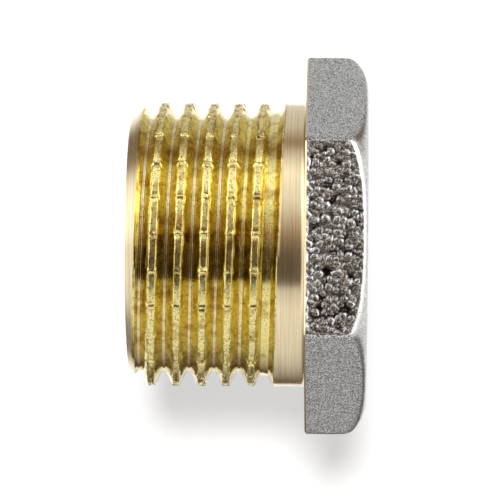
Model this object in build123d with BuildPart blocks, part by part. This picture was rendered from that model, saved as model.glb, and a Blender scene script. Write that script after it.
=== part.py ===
"""Threaded plug of brass: a hexagon head with a domed face on a hollow, threaded shank.

The plug stands on its head. The origin is the centre of the head's outer face, +Z runs along
the axis to the open tip, two flats face -Y and +Y, and two corners lie on the X axis.
"""
import os
from math import radians, sqrt, tan

from build123d import *

os.makedirs("parts", exist_ok=True)

# Hexagon head
across_flats = 24.0
head_height = 4.5
corner_round = 0.45
crown_face_radius = 11.2
crown_height = 1.35
inner_edge_break = 0.12

# Threaded shank
shank_length = 12.8
crest_diameter = 20.75
thread_pitch = 1.814
thread_flank_angle = 27.5
crest_width = 0.46
root_width = 0.2
left_hand_lead = True
first_crest_height = 3.04
tip_diameter = 18.2

# Run-out under the head, where the groove grows shallow and ends at a plain collar
runout_start = 4.75
runout_depth = 0.4
collar_length = 0.8
groove_end_angle = 110.0
groove_end_rise = 0.6

# Blind hollow from the tip
bore_diameter = 15.0
bore_depth = 12.3
bore_floor_chamfer = 1.8
bore_mouth_chamfer = 0.4

# Sizes that follow from the ones above
total_length = head_height + shank_length
corner_radius = across_flats / sqrt(3)
crest_radius = crest_diameter / 2
flank_slope = tan(radians(thread_flank_angle))
thread_depth = (thread_pitch - crest_width - root_width) / 2 / flank_slope
root_radius = crest_radius - thread_depth
tip_chamfer = crest_radius - tip_diameter / 2
bore_radius = bore_diameter / 2
bore_floor = total_length - bore_depth
cutter_reach = 0.25
cutter_mouth = (thread_pitch - crest_width) / 2 + cutter_reach * flank_slope
groove_start = head_height + first_crest_height - thread_pitch * (0.5 + groove_end_angle / 360)
collar_top = head_height + collar_length
runout_top = head_height + runout_start

# Thread groove: a V cutter drawn along the helix, less the core that flares out to the collar
with BuildPart() as groove:
    with BuildLine() as lead:
        Helix(
            pitch=thread_pitch,
            height=shank_length + thread_pitch,
            radius=crest_radius,
            center=(0, 0, groove_start),
            lefthand=left_hand_lead,
        )
    with BuildSketch(Plane.XZ) as cutter_section:
        with BuildLine():
            Polyline(
                (root_radius, groove_start - root_width / 2),
                (crest_radius + cutter_reach, groove_start - cutter_mouth),
                (crest_radius + cutter_reach, groove_start + cutter_mouth),
                (root_radius, groove_start + root_width / 2),
                close=True,
            )
        make_face()
    sweep(path=lead.line, is_frenet=True)
    with BuildSketch(Plane.XZ) as core_section:
        with BuildLine():
            Polyline(
                (0, 0),
                (corner_radius, 0),
                (corner_radius, collar_top),
                (crest_radius - runout_depth, collar_top),
                (root_radius, runout_top),
                (0, runout_top),
                close=True,
            )
        make_face()
    revolve(axis=Axis.Z, mode=Mode.SUBTRACT)

    # The tool backs out over the last quarter turn, which an off-centre core leaves
    with BuildSketch(Plane.XY) as back_out:
        with Locations((groove_end_rise * 1.05, 0)):
            Circle(crest_radius - groove_end_rise)
    extrude(amount=groove_start + thread_pitch / 2, mode=Mode.SUBTRACT)

with BuildPart() as plug:
    # Forged hexagon with soft corners
    with BuildSketch(Plane.XY) as hexagon:
        RegularPolygon(radius=across_flats / 2, side_count=6, major_radius=False)
        fillet(hexagon.vertices(), corner_round)
    extrude(amount=head_height)

    # Domed crown that turns the outer face into the flats
    with BuildSketch(Plane.XZ) as crown:
        with BuildLine():
            rim = TangentArc((crown_face_radius, 0), (corner_radius, crown_height), tangent=(1, 0))
            Polyline(
                rim @ 1,
                (corner_radius, head_height),
                (0, head_height),
                (0, 0),
                rim @ 0,
            )
        make_face()
    revolve(axis=Axis.Z, mode=Mode.INTERSECT)
    chamfer(plug.edges().group_by(Axis.Z)[-1], inner_edge_break)

    # Turned shank with its tip chamfer
    with BuildSketch(Plane.XZ) as shank:
        with BuildLine():
            Polyline(
                (0, head_height - 1),
                (crest_radius, head_height - 1),
                (crest_radius, total_length - tip_chamfer),
                (crest_radius - tip_chamfer, total_length),
                (0, total_length),
                close=True,
            )
        make_face()
    revolve(axis=Axis.Z)

    # Thread
    add(groove.part, rotation=(0, 0, groove_end_angle), mode=Mode.SUBTRACT)

    # Blind hollow from the tip
    with BuildSketch(Plane.XZ) as hollow:
        with BuildLine():
            Polyline(
                (0, bore_floor),
                (bore_radius, bore_floor),
                (bore_radius, total_length - bore_mouth_chamfer),
                (bore_radius + bore_mouth_chamfer, total_length),
                (0, total_length),
                close=True,
            )
        make_face()
        chamfer(hollow.vertices().group_by(Axis.Y)[0].sort_by(Axis.X)[-1], bore_floor_chamfer)
    revolve(axis=Axis.Z, mode=Mode.SUBTRACT)

plug.part.label = "plug"
export_step(plug.part, "parts/plug.step")
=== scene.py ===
from math import cos, exp, floor, pi, radians, sin, tan

import bmesh
import bpy
import numpy as np
from mathutils import Matrix, Vector, noise


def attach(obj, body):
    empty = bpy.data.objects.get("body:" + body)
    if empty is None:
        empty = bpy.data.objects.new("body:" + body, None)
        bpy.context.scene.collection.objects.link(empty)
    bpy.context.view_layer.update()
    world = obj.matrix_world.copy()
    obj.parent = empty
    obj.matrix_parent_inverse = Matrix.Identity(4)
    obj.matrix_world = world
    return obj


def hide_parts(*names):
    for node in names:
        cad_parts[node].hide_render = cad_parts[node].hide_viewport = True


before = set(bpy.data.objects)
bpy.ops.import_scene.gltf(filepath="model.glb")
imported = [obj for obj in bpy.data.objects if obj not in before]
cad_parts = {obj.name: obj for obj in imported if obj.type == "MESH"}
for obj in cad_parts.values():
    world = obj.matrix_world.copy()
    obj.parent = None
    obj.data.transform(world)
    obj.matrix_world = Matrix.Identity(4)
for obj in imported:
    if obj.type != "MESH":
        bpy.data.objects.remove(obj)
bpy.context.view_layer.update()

# The head: a hot-forged brass hexagon with soft corners and a domed outer face, plated with nickel.
# Two opposite flats kept the pebbled skin of the forging, round lumps with gaps between them, and
# the other four were blasted smooth and are only a little wavy.
MM = 0.001
HEAD_HEIGHT = 4.5
HALF_ACROSS_FLATS = 12.0
CORNER_ROUND = 0.45
CROWN_FACE_RADIUS = 11.2
CROWN_HEIGHT = 1.35
CROWN_EDGE_SOFTNESS = 0.35
CROWN_EDGE_SOFTER_MID_FLAT = 0.7
EDGE_BREAK = 0.12
LUMP_SIZE = 0.5
LUMP_REACH = 0.7
LUMP_SHIFT = 0.16
LUMP_SHIFT_SIZE = 0.8
GAP_DEPTH = 0.11
GAP_SHARE_OF_LUMP = 0.6
GAP_SHARE_OF_CREASE = 0.5
CREASE_WIDTH = 0.3
PATCH_SIZE = 0.7
PATCH_MEAN = 0.75
PATCH_SWING = 0.6
PEBBLED_FACING = 0.93
PEBBLED_FADE = 0.05
WAVE_SIZE = 0.9
WAVE_DEPTH = 0.03
SMOOTH_EDGE = 0.2
SMOOTH_CORNER = 0.6
HEAD_ROWS = 60
PLAIN_COLUMNS = 60
PEBBLED_COLUMNS = 168
PROFILE_STEPS = 600
FACE_RING_STEP = 0.3
FACE_CENTRE = 0.6
FACE_WIDEST_STEP = 8
NICKEL = 0
points = []
faces = []
finishes = []

# A fixed seed, so that every run draws the same lumps
noise.seed_set(5)


def ring(spots):
    """Adds one closed ring of points, in millimetres, and returns their numbers."""
    first = len(points)
    points.extend(tuple(spot) for spot in spots)
    return list(range(first, len(points)))


def bridge(outer, inner, finish):
    """Joins a ring to the next one, which has as many points or half as many."""
    count = len(outer)
    step = count // len(inner)
    for k in range(0, count, step):
        near = inner[k // step]
        far = inner[(k // step + 1) % len(inner)]
        last = (k + step) % count
        if step == 2:
            faces.append((outer[k], outer[k + 1], near))
            finishes.append(finish)
        faces.append((outer[last - 1], outer[last], far, near))
        finishes.append(finish)


def clamp(value):
    """A value kept between zero and one."""
    return min(max(value, 0.0), 1.0)


def soft_least(a, b, blend):
    """The lesser of two values, rounded where they cross."""
    share = np.clip(0.5 + 0.5 * (b - a) / blend, 0, 1)
    return a * share + b * (1 - share) - blend * share * (1 - share)


def pebble(spot):
    """Depth of the pebbled skin at a point, where round lumps fall away to creases between them."""
    spot = Vector(spot)
    shift = noise.noise_vector(spot / LUMP_SHIFT_SIZE) * LUMP_SHIFT
    nearest, second = noise.voronoi((spot + shift) / LUMP_SIZE)[0][:2]
    lump = GAP_SHARE_OF_LUMP * clamp(nearest / LUMP_REACH) ** 2
    crease = GAP_SHARE_OF_CREASE * (1 - clamp((second - nearest) / CREASE_WIDTH))
    patch = PATCH_MEAN + PATCH_SWING * noise.noise(spot / PATCH_SIZE)
    return GAP_DEPTH * (lump + crease) * patch


def wave(spot):
    """Depth of the forging's low waves at a point of the head, in millimetres."""
    return WAVE_DEPTH * (0.5 + 0.5 * noise.noise(Vector(spot) / WAVE_SIZE))


# Points along the rounded hexagon from the corner on +X, closer together on the two pebbled flats
arc = CORNER_ROUND * pi / 3
hub = HALF_ACROSS_FLATS - CORNER_ROUND
straight = 2 * hub * tan(pi / 6)
side_length = arc + straight
outline = []
from_corner = []
for side in range(6):
    columns = PEBBLED_COLUMNS if side % 3 == 1 else PLAIN_COLUMNS
    for k in range(columns):
        along = side_length * k / columns
        past_corner = along if along < side_length / 2 else along - arc - straight
        turn = side * pi / 3 if past_corner >= 0 else (side + 1) * pi / 3
        if abs(past_corner) < arc / 2:
            bend = turn + past_corner / CORNER_ROUND
            x = hub / cos(pi / 6) * cos(turn) + CORNER_ROUND * cos(bend)
            y = hub / cos(pi / 6) * sin(turn) + CORNER_ROUND * sin(bend)
        else:
            across = along - side_length / 2
            facing = side * pi / 3 + pi / 6
            x = HALF_ACROSS_FLATS * cos(facing) - across * sin(facing)
            y = HALF_ACROSS_FLATS * sin(facing) + across * cos(facing)
        outline.append((x, y))
        from_corner.append(abs(past_corner))
outline = np.array(outline)
outline_radius = np.hypot(outline[:, 0], outline[:, 1])
outline_angle = np.arctan2(outline[:, 1], outline[:, 0])
head_columns = len(outline)

# The flats run down from the shoulder into the crown through a soft edge, rounder in mid flat
corner_radius = HALF_ACROSS_FLATS / cos(pi / 6)
crown_arc = ((corner_radius - CROWN_FACE_RADIUS) ** 2 + CROWN_HEIGHT ** 2) / (2 * CROWN_HEIGHT)
wall_top = HEAD_HEIGHT - EDGE_BREAK
heights = wall_top * np.linspace(1, 0, PROFILE_STEPS) ** 2
crown_drop = np.maximum(crown_arc - heights, 0)
crown_radius = CROWN_FACE_RADIUS + np.sqrt(np.maximum(crown_arc ** 2 - crown_drop ** 2, 0))
head_grid = np.zeros((HEAD_ROWS + 1, head_columns, 3))
for column in range(head_columns):
    mid_flat = clamp((corner_radius - outline_radius[column]) / (corner_radius - HALF_ACROSS_FLATS))
    wall = np.full_like(heights, outline_radius[column])
    softness = CROWN_EDGE_SOFTNESS + CROWN_EDGE_SOFTER_MID_FLAT * mid_flat
    radius = soft_least(wall, crown_radius, softness)
    travel = np.concatenate(([0], np.cumsum(np.hypot(np.diff(radius), np.diff(heights)))))
    stations = np.linspace(0, travel[-1], HEAD_ROWS + 1)
    row_radius = np.interp(stations, travel, radius) / outline_radius[column]
    head_grid[:, column, 0] = outline[column, 0] * row_radius
    head_grid[:, column, 1] = outline[column, 1] * row_radius
    head_grid[:, column, 2] = np.interp(stations, travel, heights)
along_ring = np.roll(head_grid, -1, axis=1) - np.roll(head_grid, 1, axis=1)
outward = np.cross(np.gradient(head_grid, axis=0), along_ring)
outward /= np.linalg.norm(outward, axis=2)[:, :, None]

# Each point sinks by the depth of the skin there, less beside the shoulder and the corners
head_rings = []
gap_depth = {}
for row in range(HEAD_ROWS + 1):
    spots = []
    depths = []
    for column in range(head_columns):
        spot = head_grid[row, column]
        normal = outward[row, column]
        fade = clamp((wall_top - spot[2]) / SMOOTH_EDGE)
        fade *= 0.5 + 0.5 * clamp(from_corner[column] / SMOOTH_CORNER)
        pebbled = clamp((abs(normal[1]) - PEBBLED_FACING) / PEBBLED_FADE)
        depths.append(pebble(spot) * fade * pebbled)
        spots.append(spot - normal * (depths[-1] + wave(spot) * fade))
    head_rings.append(ring(spots))
    gap_depth.update(zip(head_rings[-1], depths))
for row in range(HEAD_ROWS):
    bridge(head_rings[row], head_rings[row + 1], NICKEL)

# The flat middle of the outer face, in rings that thin out towards the centre
face_ring = head_rings[-1]
face_step = 2
face_radius = CROWN_FACE_RADIUS
while face_radius > FACE_CENTRE:
    face_radius -= FACE_RING_STEP
    if face_step < FACE_WIDEST_STEP and face_radius < CROWN_FACE_RADIUS / face_step:
        face_step *= 2
    spots = []
    for angle in outline_angle[::face_step]:
        x = face_radius * cos(angle)
        y = face_radius * sin(angle)
        spots.append((x, y, wave((x, y, 0))))
    next_ring = ring(spots)
    bridge(face_ring, next_ring, NICKEL)
    face_ring = next_ring
faces.append(tuple(face_ring))
finishes.append(NICKEL)


def linear(colour):
    """An sRGB hex colour as linear RGBA."""
    channels = [int(colour[k:k + 2], 16) / 255 for k in (0, 2, 4)]
    return [c / 12.92 if c <= 0.04045 else ((c + 0.055) / 1.055) ** 2.4 for c in channels] + [1]


def add(tree, kind, links=(), inputs=(), stops=(), **settings):
    """Adds a node with its settings, its input values, its colour stops and the outputs that feed it."""
    node = tree.nodes.new(kind)
    for name, value in settings.items():
        setattr(node, name, value)
    for socket, value in dict(inputs).items():
        node.inputs[socket].default_value = value
    for socket, source in dict(links).items():
        tree.links.new(source, node.inputs[socket])
    if stops:
        elements = node.color_ramp.elements
        for position, colour in stops[1:-1]:
            elements.new(position)
        for element, (position, colour) in zip(elements, stops):
            element.position = position
            element.color = colour
    return node


# Nickel plate over forged and blasted brass: a neutral grey metal with a fine dark grain. Painted shade
# darkens patches of the gaps between lumps to brown, and a painted highlight whitens the crown's edge beside
# the lumps.
# The blasting grit of 0.06 mm is drawn at 0.1 mm, so that it shows as grain.
GRIT_SIZE = 0.1
GRIT_RELIEF = 0.05
CHIP_SIZE = 0.26
DULL_PATCH_SIZE = 1.2
nickel = bpy.data.materials.new("shot_blasted_nickel_plate")
nickel.use_nodes = True
tree = nickel.node_tree
tree.nodes.clear()
place = add(tree, "ShaderNodeTexCoord").outputs["Object"]
normal = add(tree, "ShaderNodeNewGeometry").outputs["True Normal"]
facing = add(tree, "ShaderNodeSeparateXYZ", {0: normal}).outputs
ahead = add(tree, "ShaderNodeMath", {0: facing["Y"]}, operation="ABSOLUTE").outputs[0]
aside = add(tree, "ShaderNodeMath", {0: facing["X"]}, operation="ABSOLUTE").outputs[0]

# The relief is the grit, with small chips on the lumps of the two pebbled flats
grit = add(tree, "ShaderNodeTexNoise", {"Vector": place},
           {"Scale": 1 / (GRIT_SIZE * MM), "Detail": 3.0, "Roughness": 0.65}).outputs["Fac"]
chips = add(tree, "ShaderNodeTexVoronoi", {"Vector": place},
            {"Scale": 1 / (CHIP_SIZE * MM)}).outputs["Distance"]
pebbled = add(tree, "ShaderNodeMapRange", {"Value": ahead}, {"From Min": 0.75, "From Max": 0.9}).outputs[0]
chipped = add(tree, "ShaderNodeMath", {0: chips, 1: pebbled}, operation="MULTIPLY").outputs[0]
relief = add(tree, "ShaderNodeMath", {0: grit, 1: chipped}, operation="SUBTRACT").outputs[0]
bump = add(tree, "ShaderNodeBump", {"Height": relief}, {"Strength": 0.5, "Distance": GRIT_RELIEF * MM})

# The grain's greys, then painted shade, dark and brown, in patches of the deepest gaps
tone = add(tree, "ShaderNodeValToRGB", {"Fac": grit},
           stops=[(0.4, linear("4A4947")), (0.47, linear("9C9B99")), (0.57, linear("DADAD8"))])
depth = add(tree, "ShaderNodeAttribute", attribute_name="gap_depth").outputs["Fac"]
deep = add(tree, "ShaderNodeMapRange", {"Value": depth},
           {"From Min": 0.25 * GAP_DEPTH, "From Max": 0.75 * GAP_DEPTH}).outputs[0]
drift = add(tree, "ShaderNodeTexNoise", {"Vector": place},
            {"Scale": 1 / (DULL_PATCH_SIZE * MM), "Detail": 2.0}).outputs["Fac"]
patch = add(tree, "ShaderNodeMapRange", {"Value": drift}, {"From Min": 0.34, "From Max": 0.54}).outputs[0]
painted_gap_shade = add(tree, "ShaderNodeMath", {0: deep, 1: patch}, operation="MULTIPLY").outputs[0]
colour = add(tree, "ShaderNodeMix", {0: painted_gap_shade, 6: tone.outputs["Color"]}, {7: linear("2C211B")},
             data_type="RGBA").outputs[2]

# A painted highlight on the crown's edge, where the surface leans to the outer face and faces more ahead than
# aside
lean = add(tree, "ShaderNodeMath", {0: facing["Z"]}, {1: -1}, operation="MULTIPLY").outputs[0]
edge = add(tree, "ShaderNodeValToRGB", {"Fac": lean},
           stops=[(0.22, (0, 0, 0, 1)), (0.36, (1, 1, 1, 1)), (0.8, (1, 1, 1, 1)), (0.96, (0, 0, 0, 1))])
more_ahead = add(tree, "ShaderNodeMath", {0: ahead, 1: aside}, operation="SUBTRACT").outputs[0]
beside = add(tree, "ShaderNodeMapRange", {"Value": more_ahead},
             {"From Min": 0.1, "From Max": 0.25}).outputs[0]
painted_highlight = add(tree, "ShaderNodeMath", {0: edge.outputs["Color"], 1: beside}, operation="MULTIPLY").outputs[0]
bright = add(tree, "ShaderNodeValToRGB", {"Fac": grit},
             stops=[(0.3, linear("6A6866")), (0.42, linear("ECECEA"))])
colour = add(tree, "ShaderNodeMix", {0: painted_highlight, 6: colour, 7: bright.outputs["Color"]},
             data_type="RGBA").outputs[2]
shader = add(tree, "ShaderNodeBsdfPrincipled",
             {"Base Color": colour, "Normal": bump.outputs["Normal"]},
             {"Metallic": 1.0, "Roughness": 0.16})
add(tree, "ShaderNodeOutputMaterial", {"Surface": shader.outputs[0]})

# The shank: a plain turned collar, then a left-hand pipe thread with round crests and a hollow tip.
# The thread was rolled, so its crests carry small cross marks from the dies and are torn here and
# there, and the last groove pushed up a thin burr where it runs out at the collar.
TIP = 17.3
TIP_RADIUS = 9.1
CREST_RADIUS = 10.375
COLLAR_RADIUS = CREST_RADIUS - 0.03
PITCH = 1.814
CREST_WIDTH = 0.46
CREST_ROUND = 0.24
ROOT_WIDTH = 0.2
ROOT_ROUND = 0.05
FLANK_ANGLE = radians(27.5)
FLANK_ROW = 0.14
FIRST_CREST = HEAD_HEIGHT + 3.04
FOOT_ROUND = 0.3
COLLAR_FOOT = HEAD_HEIGHT + FOOT_ROUND
COLLAR_TOP = HEAD_HEIGHT + 0.8
RUNOUT_START = HEAD_HEIGHT + 4.75
RUNOUT_DEPTH = 0.4
GROOVE_END = 110
GROOVE_FADE = 70
LEAD_TURNS = range(-4, 7)
TURNED_BRASS = 1
THREAD_BRASS = 2
half_pitch = PITCH / 2
thread_depth = (PITCH - CREST_WIDTH - ROOT_WIDTH) / 2 / tan(FLANK_ANGLE)
root_radius = CREST_RADIUS - thread_depth
round_share = (1 - sin(FLANK_ANGLE)) / cos(FLANK_ANGLE)
crest_flat = CREST_WIDTH / 2 - CREST_ROUND * round_share
root_flat = ROOT_WIDTH / 2 - ROOT_ROUND * round_share
crest_reach = crest_flat + CREST_ROUND * cos(FLANK_ANGLE)
root_reach = half_pitch - root_flat - ROOT_ROUND * cos(FLANK_ANGLE)


def below_crest(away):
    """Depth of the thread's profile at a distance along the axis from the middle of a crest."""
    if away <= crest_flat:
        return 0.0
    if away < crest_reach:
        return CREST_ROUND - (CREST_ROUND ** 2 - (away - crest_flat) ** 2) ** 0.5
    if away < root_reach:
        return (away - CREST_WIDTH / 2) / tan(FLANK_ANGLE)
    from_root = max(half_pitch - away - root_flat, 0)
    return thread_depth - ROOT_ROUND + (ROOT_ROUND ** 2 - from_root ** 2) ** 0.5


def hump(distance, width):
    """A smooth hump, one high in the middle and gone at about twice its width."""
    return exp(-(distance / width) ** 2)


# The cross marks: each is two pressed lines with a low barrel between them, swollen on both flanks
MARKS = 24
MARK_OFFSET = radians(1.6 - 90)
MARK_JITTER = 0.1
MARK_MEAN = 0.8
MARK_SWING = 0.9
MARK_LEAST = 0.25
MARKS_START = HEAD_HEIGHT + 2.7
MARKS_START_FADE = 0.2
MARKS_END = TIP - 1.2
MARKS_END_FADE = 0.3
LINE_FROM_MARK = 0.17
LINE_WIDTH = 0.06
LINE_DEPTH = 0.06
LINE_REACH = 0.36
BARREL_WIDTH = 0.1
BARREL_HEIGHT = 0.028
BARREL_REACH = 0.3
SWELL_LENGTH = 0.16
SWELL_FROM_CREST = 0.34
SWELL_WIDTH = 0.12
SWELL_HEIGHT = 0.1
REACH_FADE = 0.1


def cross_mark(angle, crest, away):
    """Rise of a crest at its cross marks, which differ in strength and sit a little unevenly."""
    sector = (angle - MARK_OFFSET) * MARKS / (2 * pi)
    mark = round(sector)
    seed = Vector((mark * 3.7, crest * 5.3, 1.5))
    jitter = MARK_JITTER * noise.noise(seed * 1.3)
    from_mark = (sector - mark) * 2 * pi / MARKS * CREST_RADIUS - jitter
    strength = max(MARK_MEAN + MARK_SWING * noise.noise(seed), MARK_LEAST)
    line = hump(abs(from_mark) - LINE_FROM_MARK, LINE_WIDTH) * clamp((LINE_REACH - away) / REACH_FADE)
    swell = hump(from_mark, SWELL_LENGTH) * hump(away - SWELL_FROM_CREST, SWELL_WIDTH)
    barrel = hump(from_mark, BARREL_WIDTH) * clamp((BARREL_REACH - away) / REACH_FADE)
    return strength * (BARREL_HEIGHT * barrel - LINE_DEPTH * line + SWELL_HEIGHT * swell)


# The tears: shallow ones all along the crests, and deep ones on the sides towards +X and -X. Each kind
# has so many to a radian round the axis and to a millimetre along it.
TEARS_START = HEAD_HEIGHT + 2.0
TEARS_START_FADE = 0.5
TEARS_END = TIP - 1.3
TEARS_END_FADE = 0.2
TEAR_REACH = 0.5
TEAR_FADE = 0.25
SHALLOW_TEAR_DEPTH = 0.09
DEEP_TEAR_DEPTH = 0.4
COARSE_TEARS_ROUND = 26
COARSE_TEARS_ALONG = 3
FINE_TEARS_ROUND = 60
FINE_TEARS_ALONG = 9
DEEP_TEARS_ROUND = 6
DEEP_TEARS_ALONG = 7


def tear(angle, level, away):
    """Depth torn out of a crest at a point. The last numbers keep the three patterns apart."""
    coarse = noise.noise(Vector((angle * COARSE_TEARS_ROUND, level * COARSE_TEARS_ALONG, 0)))
    fine = noise.noise(Vector((angle * FINE_TEARS_ROUND, level * FINE_TEARS_ALONG, 5)))
    deep = noise.noise(Vector((angle * DEEP_TEARS_ROUND, level * DEEP_TEARS_ALONG, 2)))
    torn = SHALLOW_TEAR_DEPTH * max(coarse, 0)
    torn += SHALLOW_TEAR_DEPTH * max(fine, 0)
    torn += DEEP_TEAR_DEPTH * cos(angle) ** 4 * max(deep, 0)
    return torn * clamp((TEAR_REACH - away) / TEAR_FADE)


# The burr: a jagged lip between the last groove and the collar
BURR_HEIGHT = 0.14
BURR_FROM_CREST = 0.2
BURR_WIDTH = 0.07
BURR_MEAN = 0.7
JAG_SWING = 0.6
JAGS_ROUND = 14
FINE_JAG_SWING = 0.5
FINE_JAGS_ROUND = 32


def burr(angle, away):
    """Height of the burr at a point of the last groove."""
    jagged = BURR_MEAN + JAG_SWING * noise.noise(Vector((angle * JAGS_ROUND, 0, 0)))
    jagged += FINE_JAG_SWING * noise.noise(Vector((angle * FINE_JAGS_ROUND, 0, 3)))
    return BURR_HEIGHT * max(jagged, 0) * hump(away - BURR_FROM_CREST, BURR_WIDTH)


def shank_point(angle, level):
    """A point of the thread or collar. Its level is the height of its line along the lead at angle zero."""
    z = min(max(level - PITCH * angle / (2 * pi), COLLAR_FOOT), TIP)
    turns = (level - FIRST_CREST) / PITCH
    crest = round(turns)
    away = abs(turns - crest) * PITCH
    groove = floor(turns) + 1
    outer = min(COLLAR_RADIUS, TIP_RADIUS + TIP - z)
    flare = clamp((RUNOUT_START - z) / (RUNOUT_START - COLLAR_TOP))
    groove_floor = root_radius + (thread_depth - RUNOUT_DEPTH) * flare
    present = clamp((GROOVE_END - angle * 180 / pi + 360 * groove) / GROOVE_FADE)
    groove_floor = outer - (outer - groove_floor) * present
    radius = min(outer, max(CREST_RADIUS - below_crest(away), groove_floor))
    marked = clamp((z - MARKS_START) / MARKS_START_FADE) * clamp((MARKS_END - z) / MARKS_END_FADE)
    radius += cross_mark(angle, crest, away) * marked
    torn = clamp((z - TEARS_START) / TEARS_START_FADE) * clamp((TEARS_END - z) / TEARS_END_FADE)
    radius -= tear(angle, level, away) * torn
    radius = min(radius, CREST_RADIUS)
    if groove == 0 and crest == -1:
        radius += present * burr(angle, away)
    return radius * cos(angle), radius * sin(angle), z


# Columns lie closer at the cross marks, and rows follow the thread's profile along the lead
CREST_TURNS = (8, 20, 33, 47, 62.5)
ROOT_TURNS = (62.5, 42, 20)
across_mark = np.array([-1.371, -0.95, -0.55, -0.3, -0.18, -0.08, 0, 0.08, 0.18, 0.3, 0.55, 0.95])
column_angles = []
for mark in range(MARKS):
    column_angles.extend(MARK_OFFSET + 2 * pi * mark / MARKS + across_mark / CREST_RADIUS)
column_count = len(column_angles)
flank_row = crest_reach + FLANK_ROW
half_rows = [0]
half_rows += [crest_flat + CREST_ROUND * sin(radians(turn)) for turn in CREST_TURNS]
half_rows += [flank_row, (flank_row + root_reach) / 2]
half_rows += [half_pitch - root_flat - ROOT_ROUND * sin(radians(turn)) for turn in ROOT_TURNS]
row_offsets = half_rows + [half_pitch] + [PITCH - row for row in reversed(half_rows[1:])]
levels = []
for turn in LEAD_TURNS:
    levels.extend(FIRST_CREST + turn * PITCH + np.array(row_offsets))
shank_grid = []
for level in levels:
    shank_grid.append(ring(shank_point(angle, level) for angle in column_angles))

# The rolled finish ends where the groove does, on a taper, and the tip's chamfer is turned
END_LEAD = 6
END_TAPER = 45
LAND_BESIDE_END = 0.12
ROUNDING = 1e-6
TOUCH = 1e-4
for row in range(len(levels) - 1):
    for column in range(column_count):
        after = (column + 1) % column_count
        shift = len(row_offsets) if after == 0 else 0
        corners = (
            shank_grid[row][column],
            shank_grid[row - shift][after],
            shank_grid[row + 1 - shift][after],
            shank_grid[row + 1][column],
        )
        corner_z = [points[corner][2] for corner in corners]
        if row < shift or max(corner_z) <= COLLAR_FOOT or min(corner_z) >= TIP:
            continue
        round_axis = column_angles[column] * 180 / pi
        groove = floor((levels[row] - FIRST_CREST) / PITCH + ROUNDING) + 1
        past_crest = levels[row] - FIRST_CREST - (groove - 1) * PITCH
        taper = END_TAPER * abs(past_crest / half_pitch - 1)
        ended = round_axis - 360 * groove > GROOVE_END - END_LEAD - taper
        last_crest = round_axis - 360 * (groove - 1) > GROOVE_END - END_LEAD - END_TAPER
        beside = last_crest and past_crest < LAND_BESIDE_END
        corner_reach = [(points[corner][0] ** 2 + points[corner][1] ** 2) ** 0.5 for corner in corners]
        on_tip = all(r > TIP_RADIUS + TIP - z - TOUCH for r, z in zip(corner_reach, corner_z))
        faces.append(corners)
        finishes.append(TURNED_BRASS if ended or beside or on_tip else THREAD_BRASS)
lowest = {}
highest = {}
for row in shank_grid:
    for column, number in enumerate(row):
        if points[number][2] <= COLLAR_FOOT:
            lowest.setdefault(column, number)
        if points[number][2] >= TIP:
            highest.setdefault(column, number)
collar_ring = [lowest[column] for column in range(column_count)]
tip_ring = [highest[column] for column in range(column_count)]

# Turned brass of the collar, shoulder and tip: pale yellow, with fine lines round the axis that
# draw a highlight out along it. The tool's feed of 0.05 mm is drawn at 0.12 mm, so that it shows.
FEED_LINE = 0.12
FEED_LINE_LENGTH = 8
FEED_RELIEF = 0.015
turned_brass = bpy.data.materials.new("turned_brass")
turned_brass.use_nodes = True
tree = turned_brass.node_tree
tree.nodes.clear()
place = add(tree, "ShaderNodeTexCoord").outputs["Object"]
lay = add(tree, "ShaderNodeMapping", {"Vector": place},
          {"Scale": [1 / (size * MM) for size in (FEED_LINE_LENGTH, FEED_LINE_LENGTH, FEED_LINE)]})
lines = add(tree, "ShaderNodeTexNoise", {"Vector": lay.outputs[0]},
            {"Scale": 1.0, "Detail": 3.0}).outputs["Fac"]
bump = add(tree, "ShaderNodeBump", {"Height": lines}, {"Strength": 0.4, "Distance": FEED_RELIEF * MM})
tone = add(tree, "ShaderNodeValToRGB", {"Fac": lines},
           stops=[(0.3, linear("D4C09A")), (0.6, linear("E6D6B2"))])
tangent = add(tree, "ShaderNodeTangent", direction_type="RADIAL", axis="Z")
shader = add(tree, "ShaderNodeBsdfPrincipled",
             {"Base Color": tone.outputs["Color"], "Normal": bump.outputs["Normal"],
              "Tangent": tangent.outputs[0]},
             {"Metallic": 1.0, "Roughness": 0.25, "Anisotropic": 0.85, "Anisotropic Rotation": 0.25})
add(tree, "ShaderNodeOutputMaterial", {"Surface": shader.outputs[0]})

# Rolled brass of the thread: burnished flanks of a strong yellow with brown stains, a pale line along
# each root, and duller crests with dark specks. The die lines, tears and specks of about 0.05 mm are
# drawn at 0.1 to 0.12 mm, so that they show.
DIE_LINE = 0.12
DIE_LINE_LENGTH = 1.0
TEAR_SIZE = 0.11
SPECK_SIZE = 0.1
STAIN_SIZE = 1.1
DIE_RELIEF = 0.02
thread_brass = bpy.data.materials.new("rolled_brass")
thread_brass.use_nodes = True
tree = thread_brass.node_tree
tree.nodes.clear()
place = add(tree, "ShaderNodeTexCoord").outputs["Object"]

# How far up the thread's profile a point lies, from the root to the crest
from_axis = add(tree, "ShaderNodeVectorMath", {0: place}, {1: (1, 1, 0)}, operation="MULTIPLY")
reach = add(tree, "ShaderNodeVectorMath", {0: from_axis.outputs[0]}, operation="LENGTH").outputs["Value"]
rise = add(tree, "ShaderNodeMapRange", {"Value": reach},
           {"From Min": root_radius * MM, "From Max": CREST_RADIUS * MM}).outputs[0]
crest = add(tree, "ShaderNodeMapRange", {"Value": rise}, {"From Min": 0.78, "From Max": 0.95}).outputs[0]

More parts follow.
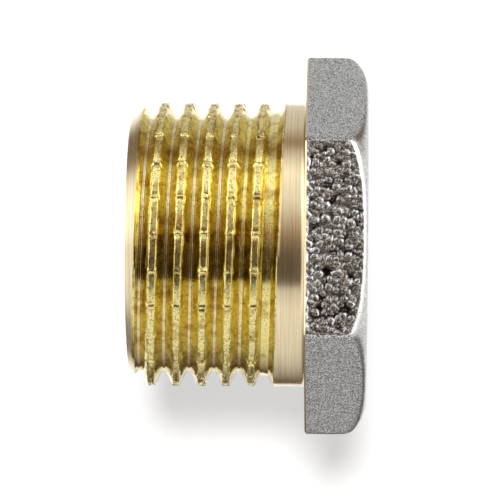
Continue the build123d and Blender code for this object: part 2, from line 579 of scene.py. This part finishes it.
# The relief is the lines that the dies left, and tears on the crests
lay = add(tree, "ShaderNodeMapping", {"Vector": place},
          {"Scale": [1 / (size * MM) for size in (DIE_LINE_LENGTH, DIE_LINE_LENGTH, DIE_LINE)]})
lines = add(tree, "ShaderNodeTexNoise", {"Vector": lay.outputs[0]},
            {"Scale": 1.0, "Detail": 3.0}).outputs["Fac"]
tears = add(tree, "ShaderNodeTexNoise", {"Vector": place},
            {"Scale": 1 / (TEAR_SIZE * MM), "Detail": 2.0}).outputs["Fac"]
torn = add(tree, "ShaderNodeMath", {0: tears, 1: crest}, operation="MULTIPLY").outputs[0]
relief = add(tree, "ShaderNodeMath", {0: lines, 1: torn}, operation="ADD").outputs[0]
bump = add(tree, "ShaderNodeBump", {"Height": relief}, {"Strength": 0.5, "Distance": DIE_RELIEF * MM})

# The brass, then its stains, then its specks, which are denser on the crests
tone = add(tree, "ShaderNodeValToRGB", {"Fac": rise},
           stops=[(0.02, linear("DCCB9C")), (0.06, linear("E9DA90")), (0.85, linear("E9DA90")),
                  (0.95, linear("EADB98"))])
stain = add(tree, "ShaderNodeTexNoise", {"Vector": place},
            {"Scale": 1 / (STAIN_SIZE * MM), "Detail": 3.0, "Roughness": 0.6}).outputs["Fac"]
stained = add(tree, "ShaderNodeMapRange", {"Value": stain},
              {"From Min": 0.5, "From Max": 0.66, "To Max": 0.75}).outputs[0]
colour = add(tree, "ShaderNodeMix", {0: stained, 6: tone.outputs["Color"]}, {7: linear("A8883E")},
             data_type="RGBA").outputs[2]
speck = add(tree, "ShaderNodeTexNoise", {"Vector": place},
            {"Scale": 1 / (SPECK_SIZE * MM), "Detail": 2.0, "Roughness": 0.7}).outputs["Fac"]
denser = add(tree, "ShaderNodeMath", {0: crest}, {1: 0.04}, operation="MULTIPLY").outputs[0]
worn = add(tree, "ShaderNodeMath", {0: speck, 1: denser}, operation="SUBTRACT").outputs[0]
clean = add(tree, "ShaderNodeMapRange", {"Value": worn}, {"From Min": 0.34, "From Max": 0.42}).outputs[0]
colour = add(tree, "ShaderNodeMix", {0: clean, 7: colour}, {6: linear("846A2E")},
             data_type="RGBA").outputs[2]
gloss = add(tree, "ShaderNodeMapRange", {"Value": crest}, {"To Min": 0.1, "To Max": 0.24}).outputs[0]
shader = add(tree, "ShaderNodeBsdfPrincipled",
             {"Base Color": colour, "Normal": bump.outputs["Normal"], "Roughness": gloss},
             {"Metallic": 1.0})
add(tree, "ShaderNodeOutputMaterial", {"Surface": shader.outputs[0]})

# The shoulder: the inner face of the head, faced off on the lathe to bare brass, which leaves a
# bright line along the edge of the plating. It turns up into the collar through a small round foot.
FOOT_TURNS = (90, 68, 45, 22)
edge_scale = (outline_radius - EDGE_BREAK) / outline_radius
edge_ring = ring((x * s, y * s, HEAD_HEIGHT) for (x, y), s in zip(outline, edge_scale))
bridge(edge_ring, head_rings[0], TURNED_BRASS)
first_edge = int(np.argmin(np.abs(outline_angle - column_angles[0])))
shoulder_ring = edge_ring[first_edge:] + edge_ring[:first_edge]
for turn in FOOT_TURNS:
    reach = COLLAR_RADIUS + FOOT_ROUND * (1 - cos(radians(turn)))
    z = COLLAR_FOOT - FOOT_ROUND * sin(radians(turn))
    next_ring = ring((reach * cos(angle), reach * sin(angle), z) for angle in column_angles)
    bridge(shoulder_ring, next_ring, TURNED_BRASS)
    shoulder_ring = next_ring
bridge(shoulder_ring, collar_ring, TURNED_BRASS)

# The hollow: a blind round hole, forged from the tip to save brass and plated with the head. Its
# floor has a wide chamfer, and its mouth and the tip's rim were turned back to bare brass.
BORE_RADIUS = 7.5
BORE_FLOOR = 5.0
BORE_CHAMFER = 1.8
MOUTH_CHAMFER = 0.4
WALL_RINGS = 24
FLOOR_RINGS = 12
FLOOR_CENTRE = 0.4
bore_rings = [(BORE_RADIUS + MOUTH_CHAMFER, TIP, TURNED_BRASS)]
bore_rings.append((BORE_RADIUS, TIP - MOUTH_CHAMFER, TURNED_BRASS))
for z in np.linspace(TIP - MOUTH_CHAMFER, BORE_FLOOR + BORE_CHAMFER, WALL_RINGS)[1:]:
    bore_rings.append((BORE_RADIUS, z, NICKEL))
for share in (0.25, 0.5, 0.75, 1):
    radius = BORE_RADIUS - BORE_CHAMFER * share
    bore_rings.append((radius, BORE_FLOOR + BORE_CHAMFER * (1 - share), NICKEL))
for radius in np.linspace(BORE_RADIUS - BORE_CHAMFER, FLOOR_CENTRE, FLOOR_RINGS)[1:]:
    bore_rings.append((radius, BORE_FLOOR, NICKEL))
bore_ring = tip_ring
for step, (radius, z, finish) in enumerate(bore_rings):
    bore_angles = column_angles if step < 2 else column_angles[::2]
    next_ring = ring((radius * cos(angle), radius * sin(angle), z) for angle in bore_angles)
    bridge(bore_ring, next_ring, finish)
    bore_ring = next_ring
faces.append(tuple(bore_ring))
finishes.append(NICKEL)

# The plug: one piece of brass, so head, shank, shoulder and hollow are one closed skin. Nothing is
# fixed to it, and its three finishes meet along edges of the skin.
MERGE_DISTANCE = 1e-7
SHARP_EDGE = radians(40)
mesh = bpy.data.meshes.new("threaded_plug")
mesh.from_pydata([tuple(c * MM for c in point) for point in points], [], faces)
mesh.polygons.foreach_set("material_index", finishes)
depths = mesh.attributes.new("gap_depth", "FLOAT", "POINT")
depths.data.foreach_set("value", [gap_depth.get(number, 0.0) for number in range(len(points))])
skin = bmesh.new()
skin.from_mesh(mesh)
bmesh.ops.remove_doubles(skin, verts=skin.verts, dist=MERGE_DISTANCE)
bmesh.ops.dissolve_degenerate(skin, edges=skin.edges, dist=MERGE_DISTANCE)
bmesh.ops.delete(skin, geom=[vert for vert in skin.verts if not vert.link_faces], context="VERTS")
bmesh.ops.recalc_face_normals(skin, faces=skin.faces)
for face in skin.faces:
    face.smooth = True
skin.to_mesh(mesh)
skin.free()
mesh.set_sharp_from_angle(angle=SHARP_EDGE)
for material in (nickel, turned_brass, thread_brass):
    mesh.materials.append(material)
plug = bpy.data.objects.new("threaded_plug", mesh)
bpy.context.scene.collection.objects.link(plug)
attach(plug, "root")
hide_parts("plug")

# The sheet of white paper that stands behind the plug and takes its shadow. It shows only on the
# side that the plug is on, so it never stands between the plug and a camera behind it.
PAPER_GAP = 16
PAPER_ABOVE = 22
PAPER_BELOW = 22
PAPER_SIDES = 150
PAPER_GLOW = 0.18
paper_y = (HALF_ACROSS_FLATS + PAPER_GAP) * MM
paper_mesh = bpy.data.meshes.new("paper")
paper_mesh.from_pydata([
    (-PAPER_BELOW * MM, paper_y, -PAPER_SIDES * MM),
    (PAPER_ABOVE * MM, paper_y, -PAPER_SIDES * MM),
    (PAPER_ABOVE * MM, paper_y, PAPER_SIDES * MM),
    (-PAPER_BELOW * MM, paper_y, PAPER_SIDES * MM),
], [], [(0, 1, 2, 3)])

# Matt white paper: no gloss at all, and a little brighter than the light on it to cameras and metal
white_paper = bpy.data.materials.new("matt_white_paper")
white_paper.use_nodes = True
tree = white_paper.node_tree
tree.nodes.clear()
rays = add(tree, "ShaderNodeLightPath").outputs
seen = add(tree, "ShaderNodeMath", {0: rays["Is Camera Ray"], 1: rays["Is Glossy Ray"]}, operation="MAXIMUM")
seen = add(tree, "ShaderNodeMath", {0: seen.outputs[0], 1: rays["Is Transmission Ray"]}, operation="MAXIMUM")
level = add(tree, "ShaderNodeMath", {0: seen.outputs[0]}, {1: PAPER_GLOW}, operation="MULTIPLY")
glow = add(tree, "ShaderNodeEmission", {"Strength": level.outputs[0]})
matt = add(tree, "ShaderNodeBsdfDiffuse", inputs={"Color": linear("BCBCBC")})
lit = add(tree, "ShaderNodeAddShader", {0: matt.outputs[0], 1: glow.outputs[0]})
behind = add(tree, "ShaderNodeNewGeometry").outputs["Backfacing"]
clear = add(tree, "ShaderNodeBsdfTransparent")
one_side = add(tree, "ShaderNodeMixShader", {0: behind, 1: lit.outputs[0], 2: clear.outputs[0]})
add(tree, "ShaderNodeOutputMaterial", {"Surface": one_side.outputs[0]})
paper_mesh.materials.append(white_paper)
paper = bpy.data.objects.new("paper", paper_mesh)
bpy.context.scene.collection.objects.link(paper)

# The studio light: one soft lamp over the camera throws the shadow on the paper. It has no highlight
# of its own, because the metal shows the light tent instead.
LAMP_LEAN = radians(7.5)
lamp_data = bpy.data.lights.new("soft_lamp", "SUN")
lamp_data.energy = 3.3
lamp_data.angle = radians(9)
lamp = bpy.data.objects.new("soft_lamp", lamp_data)
lamp.rotation_mode = "QUATERNION"
lamp.rotation_quaternion = Vector((sin(LAMP_LEAN), -cos(LAMP_LEAN), 0)).to_track_quat("Z", "Y")
lamp.visible_glossy = False
bpy.context.scene.collection.objects.link(lamp)

# The light tent: a ball of white cloth lit from outside, which the metal mirrors. Its cloth is bright
# above and below the camera, and dark where it opens for the camera and low down behind the plug.
TENT_RADIUS = 1000
TENT_STRENGTH = 3.0
DIM_CLOTH = 0.45
tent_mesh = bpy.data.meshes.new("light_tent")
ball = bmesh.new()
bmesh.ops.create_uvsphere(ball, u_segments=48, v_segments=24, radius=TENT_RADIUS * MM)
ball.to_mesh(tent_mesh)
ball.free()

# White tent cloth, warmer where it is dim. Each pair is an angle round the plug's axis in degrees, with
# 0 at the camera and 90 above the plug, and how bright the cloth is there.
level_cloth = [
    (-180, 0.14), (-148, 0.16), (-118, 0.7), (-98, 0.95), (-57, 1.1), (-38, 0.8), (-34.5, 0.08), (-8, 0.11),
    (8, 0.38), (32, 0.96), (48, 1.15), (56, 1.42), (66, 1.1), (74, 0.85), (88, 0.34), (110, 0.74), (180, 0.9),
]
tall_cloth = [
    (-180, 0.14), (-148, 0.12), (-110, 0.48), (-65, 1.15), (-38, 1.0), (-28, 0.5), (-12, 0.55), (26, 1.5),
    (38, 2.9), (66, 2.9), (84, 1.9), (95, 0.36), (130, 0.2), (180, 0.2),
]
end_cloth = [
    (-180, 0.5), (-130, 0.7), (-90, 1.4), (-20, 1.5), (24, 2.2), (50, 2.4), (70, 2.4), (95, 1.8),
    (120, 0.9), (180, 0.5),
]
tent_cloth = bpy.data.materials.new("lit_tent_cloth")
tent_cloth.use_nodes = True
tree = tent_cloth.node_tree
tree.nodes.clear()
place = add(tree, "ShaderNodeTexCoord").outputs["Object"]
split = add(tree, "ShaderNodeSeparateXYZ", {0: place}).outputs
front = add(tree, "ShaderNodeMath", {0: split["Y"]}, {1: -1}, operation="MULTIPLY")
around = add(tree, "ShaderNodeMath", {0: split["X"], 1: front.outputs[0]}, operation="ARCTAN2")
share = add(tree, "ShaderNodeMapRange", {"Value": around.outputs[0]}, {"From Min": -pi, "From Max": pi})
bands = []
for cloth in (level_cloth, tall_cloth, end_cloth):
    stops = []
    for angle, level in cloth:
        white = linear("FFFFFF" if level > DIM_CLOTH else "FFDAB4")
        stops.append(((angle + 180) / 360, [channel * level / TENT_STRENGTH for channel in white]))
    band = add(tree, "ShaderNodeValToRGB", {"Fac": share.outputs[0]}, stops=stops)
    bands.append(band.outputs["Color"])

# The tall cloth takes over from the level one towards both ends of the axis, and then the end cloth
lift = add(tree, "ShaderNodeMath", {0: split["Z"]}, operation="ABSOLUTE")
cloth = bands[0]
for band, start, end in ((bands[1], 20, 36), (bands[2], 50, 66)):
    rise = add(tree, "ShaderNodeMapRange", {"Value": lift.outputs[0]},
               {"From Min": TENT_RADIUS * MM * sin(radians(start)),
                "From Max": TENT_RADIUS * MM * sin(radians(end))},
               interpolation_type="SMOOTHSTEP")
    cloth = add(tree, "ShaderNodeMix", {0: rise.outputs[0], 6: cloth, 7: band}, data_type="RGBA").outputs[2]
light = add(tree, "ShaderNodeEmission", {"Color": cloth}, {"Strength": TENT_STRENGTH})
add(tree, "ShaderNodeOutputMaterial", {"Surface": light.outputs[0]})
tent_mesh.materials.append(tent_cloth)
tent = bpy.data.objects.new("light_tent", tent_mesh)
tent.visible_camera = False
tent.visible_shadow = False
bpy.context.scene.collection.objects.link(tent)

# The room outside the tent: plain white walls, which the camera sees past the paper's edges because
# the tent's cloth hides from it.
room = bpy.data.worlds.new("white_room")
bpy.context.scene.world = room
room.use_nodes = True
tree = room.node_tree
tree.nodes.clear()
white = add(tree, "ShaderNodeBackground", inputs={"Color": linear("FFFFFF"), "Strength": 1.0})
add(tree, "ShaderNodeOutputWorld", {"Surface": white.outputs[0]})

# The camera: it faces a pebbled flat from 300 mm away, a little below the plug and past its head. The
# plug's axis lies level in the picture, with the tip to the left.
CAMERA_DISTANCE = 300
PICTURE_WIDTH = 36.6
CAMERA_TURN = radians(-2.7)
CAMERA_LIFT = radians(-1.36)
CAMERA_ROLL = radians(0.45)
PICTURE_CENTRE = Vector((-0.37, 0, 8.6))
camera_data = bpy.data.cameras.new("camera")
camera_data.sensor_width = 36
camera_data.lens = camera_data.sensor_width * CAMERA_DISTANCE / PICTURE_WIDTH
camera_data.clip_start = 0.01
camera = bpy.data.objects.new("camera", camera_data)
bpy.context.scene.collection.objects.link(camera)
back = Vector((sin(CAMERA_TURN) * cos(CAMERA_LIFT), -cos(CAMERA_TURN) * cos(CAMERA_LIFT), sin(CAMERA_LIFT)))
up = back.cross(Vector((0, 0, -1))).normalized()
up.rotate(Matrix.Rotation(CAMERA_ROLL, 3, back))
right = up.cross(back)
turned = Matrix((right, up, back)).transposed().to_4x4()
camera.matrix_world = Matrix.Translation((PICTURE_CENTRE + back * CAMERA_DISTANCE) * MM) @ turned
bpy.context.scene.camera = camera
bpy.context.scene.view_settings.view_transform = "Standard"
